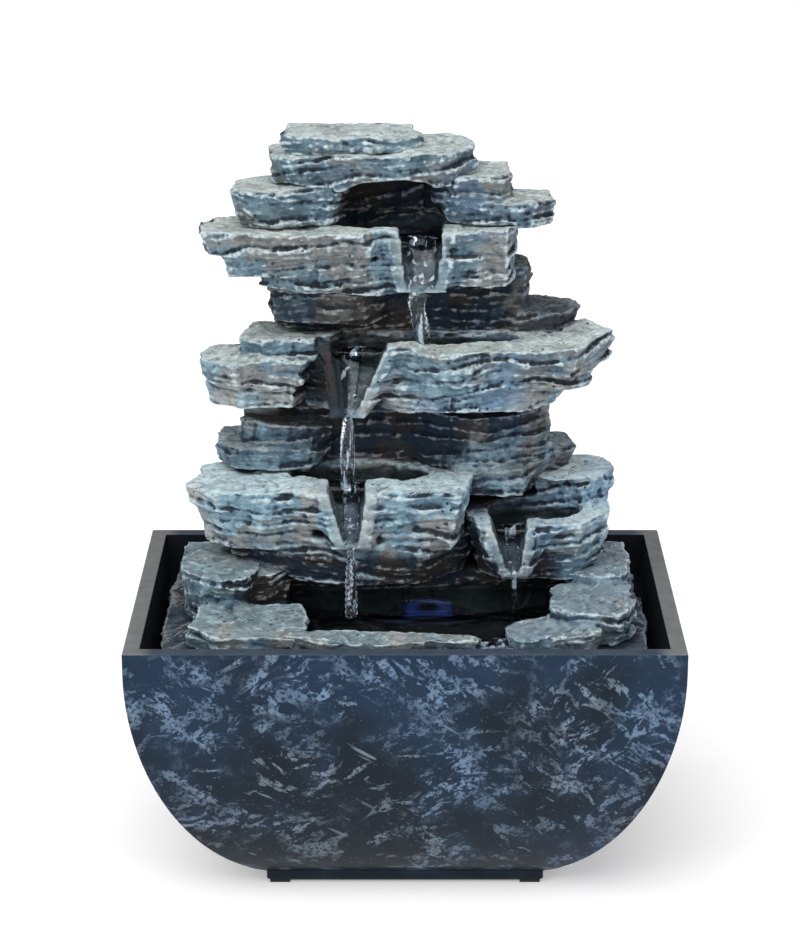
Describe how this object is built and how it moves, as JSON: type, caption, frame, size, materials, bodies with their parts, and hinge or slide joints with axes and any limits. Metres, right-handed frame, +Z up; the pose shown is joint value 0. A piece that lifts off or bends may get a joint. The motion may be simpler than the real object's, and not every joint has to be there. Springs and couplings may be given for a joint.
{
  "type": "tabletop fountain",
  "caption": "Tabletop water fountain: a terraced stacked-slate cascade with basins and chutes over a lit pool, resting in a curved rectangular bowl that hides a small pump.",
  "frame": {"origin": "on the table, under the middle of the bowl", "axes": "+X to the right, +Y to the back, +Z up; the chutes face the front, -Y"},
  "size_m": [0.208, 0.14, 0.282],
  "materials": {
    "bowl_stone": "satin",
    "slate": "matte",
    "deck_rock": "matte",
    "pump_plastic": "satin",
    "dial_plastic": "satin",
    "impeller_plastic": "satin",
    "shaft_ceramic": "polished",
    "black_rubber": "matte",
    "clear_rubber": "satin",
    "clear_hose": "gloss",
    "lamp_glass": "gloss",
    "board_green": "satin",
    "led_blue": "gloss"
  },
  "bodies": {
    "bowl": {"bowl": "bowl_stone", "foot_pads": "black_rubber", "pump_housing": "pump_plastic", "pump_seal": "black_rubber", "pump_cover": "pump_plastic", "pump_shaft": "shaft_ceramic", "shaft_bushes": "black_rubber", "inlet_strainer": "pump_plastic", "suction_cups": "clear_rubber", "cable_gland": "black_rubber"},
    "impeller": {"pump_impeller": "impeller_plastic"},
    "flow_dial": {"flow_dial": "dial_plastic"},
    "cascade": {"rock_deck": "deck_rock", "base_strata": "slate", "pool_stone_left": "slate", "pool_rim_front": "slate", "pool_stone_right": "slate", "lower_tier_left": "slate", "lower_tier_right": "slate", "middle_neck": "slate", "middle_tier": "slate", "middle_stone_left": "slate", "upper_neck": "slate", "upper_tier": "slate", "arch_stone_left": "slate", "arch_stone_right": "slate", "arch_slab": "slate", "cap_slab": "slate", "riser_hose": "clear_hose", "lamp_seal": "black_rubber", "lamp_housing": "pump_plastic", "lamp_lens": "lamp_glass", "lamp_board": "board_green", "lamp_leds": "led_blue"}
  },
  "joints": [
    {"name": "cascade_lift", "type": "slide", "parent": "bowl", "child": "cascade", "axis": [0, 0, 1], "range_m": [0, 0.12]},
    {"name": "impeller_spin", "type": "hinge", "parent": "bowl", "child": "impeller", "pos_m": [0, 0.024, 0.0325], "axis": [1, 0, 0], "continuous": true},
    {"name": "flow_control", "type": "hinge", "parent": "bowl", "child": "flow_dial", "pos_m": [0.0163, 0.024, 0.0325], "axis": [1, 0, 0], "range_deg": [0, 90]}
  ]
}
